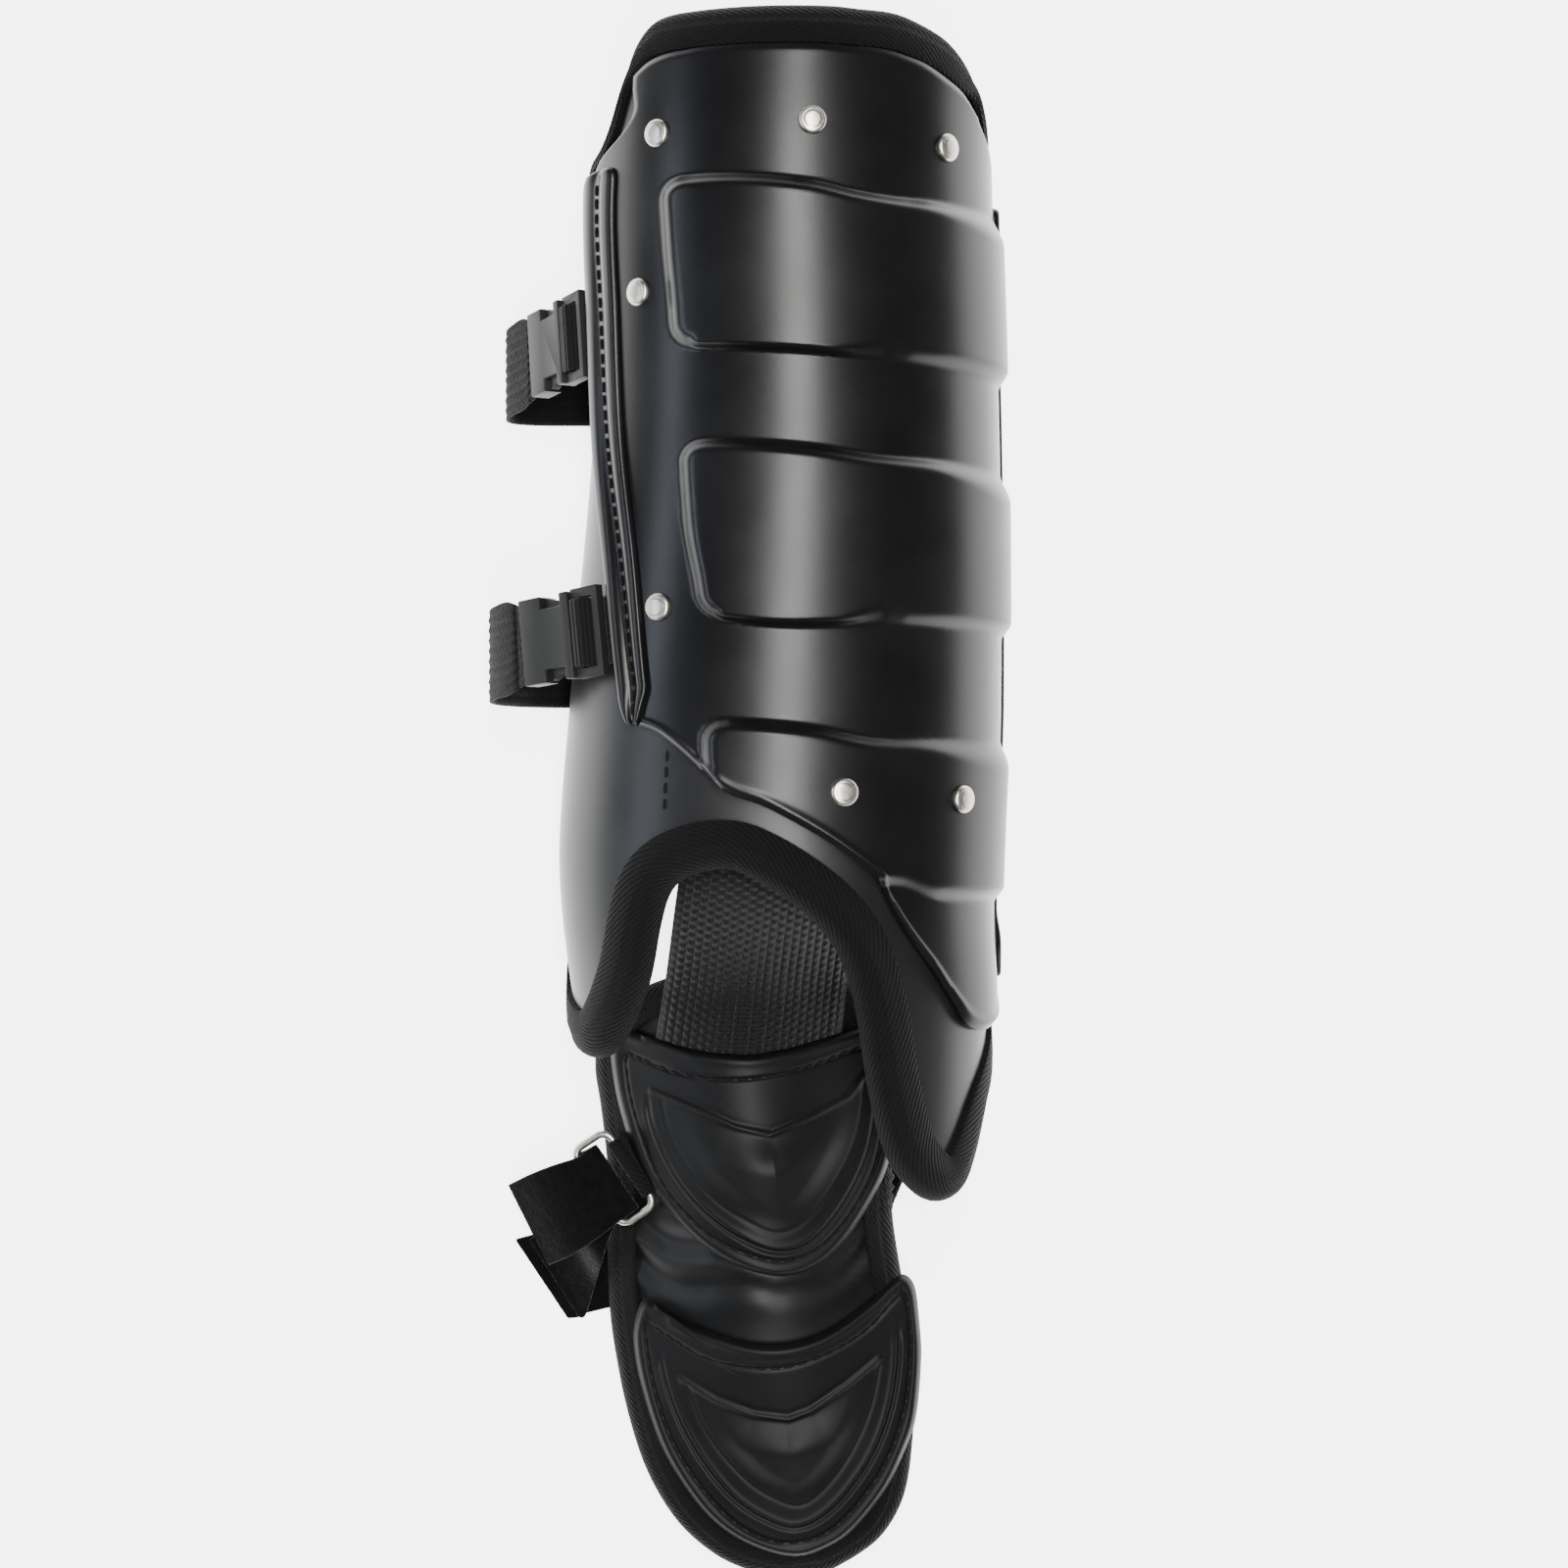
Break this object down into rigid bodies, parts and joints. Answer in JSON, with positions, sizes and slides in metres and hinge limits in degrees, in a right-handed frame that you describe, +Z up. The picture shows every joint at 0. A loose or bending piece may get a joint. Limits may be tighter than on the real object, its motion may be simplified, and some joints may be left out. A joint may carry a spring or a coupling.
{
  "type": "batters foot guard",
  "caption": "Hard-shelled shin and foot guard for a batter's left leg, with a padded liner, calf straps with side-release buckles and a strap under the foot.",
  "frame": {"origin": "middle of the underside of the whole guard's box, on the surface that it lies on", "axes": "+Y from the toe towards the knee, +X to the right as seen with the toe nearest, +Z up, out of the front of the shin"},
  "size_m": [0.1574, 0.4704, 0.095],
  "materials": {
    "black_shell": "satin moulded plastic",
    "matte_vinyl": "matte grained vinyl over foam",
    "black_tape": "fine ribbed cloth tape",
    "black_elastic": "ribbed woven elastic",
    "black_webbing": "coarse basket weave",
    "black_plastic": "satin",
    "cap_rubber": "satin grained",
    "black_hook_tape": "matte looped pile",
    "nickel": "satin nickel"
  },
  "bodies": {
    "root": {"shin_shell": "black_shell", "left_edge_strip": "black_shell", "right_edge_strip": "black_shell", "shin_liner": "matte_vinyl", "foot_pad": "matte_vinyl", "liner_binding": "black_tape", "foot_binding": "black_tape", "upper_strap_webbing": "black_tape", "lower_strap_webbing": "black_tape", "ring_tab_left": "black_tape", "ring_tab_right": "black_tape", "upper_strap_elastic": "black_elastic", "lower_strap_elastic": "black_elastic", "ankle_web": "black_webbing", "upper_buckle_frame": "black_plastic", "upper_buckle_body": "black_plastic", "lower_buckle_frame": "black_plastic", "lower_buckle_body": "black_plastic", "instep_cap": "cap_rubber", "toe_cap": "cap_rubber", "foot_strap": "black_hook_tape", "foot_ring_left": "nickel", "foot_ring_right": "nickel", "rivet_1": "nickel", "rivet_2": "nickel", "rivet_3": "nickel", "rivet_4": "nickel", "rivet_5": "nickel", "rivet_6": "nickel", "rivet_7": "nickel"}
  },
  "joints": []
}
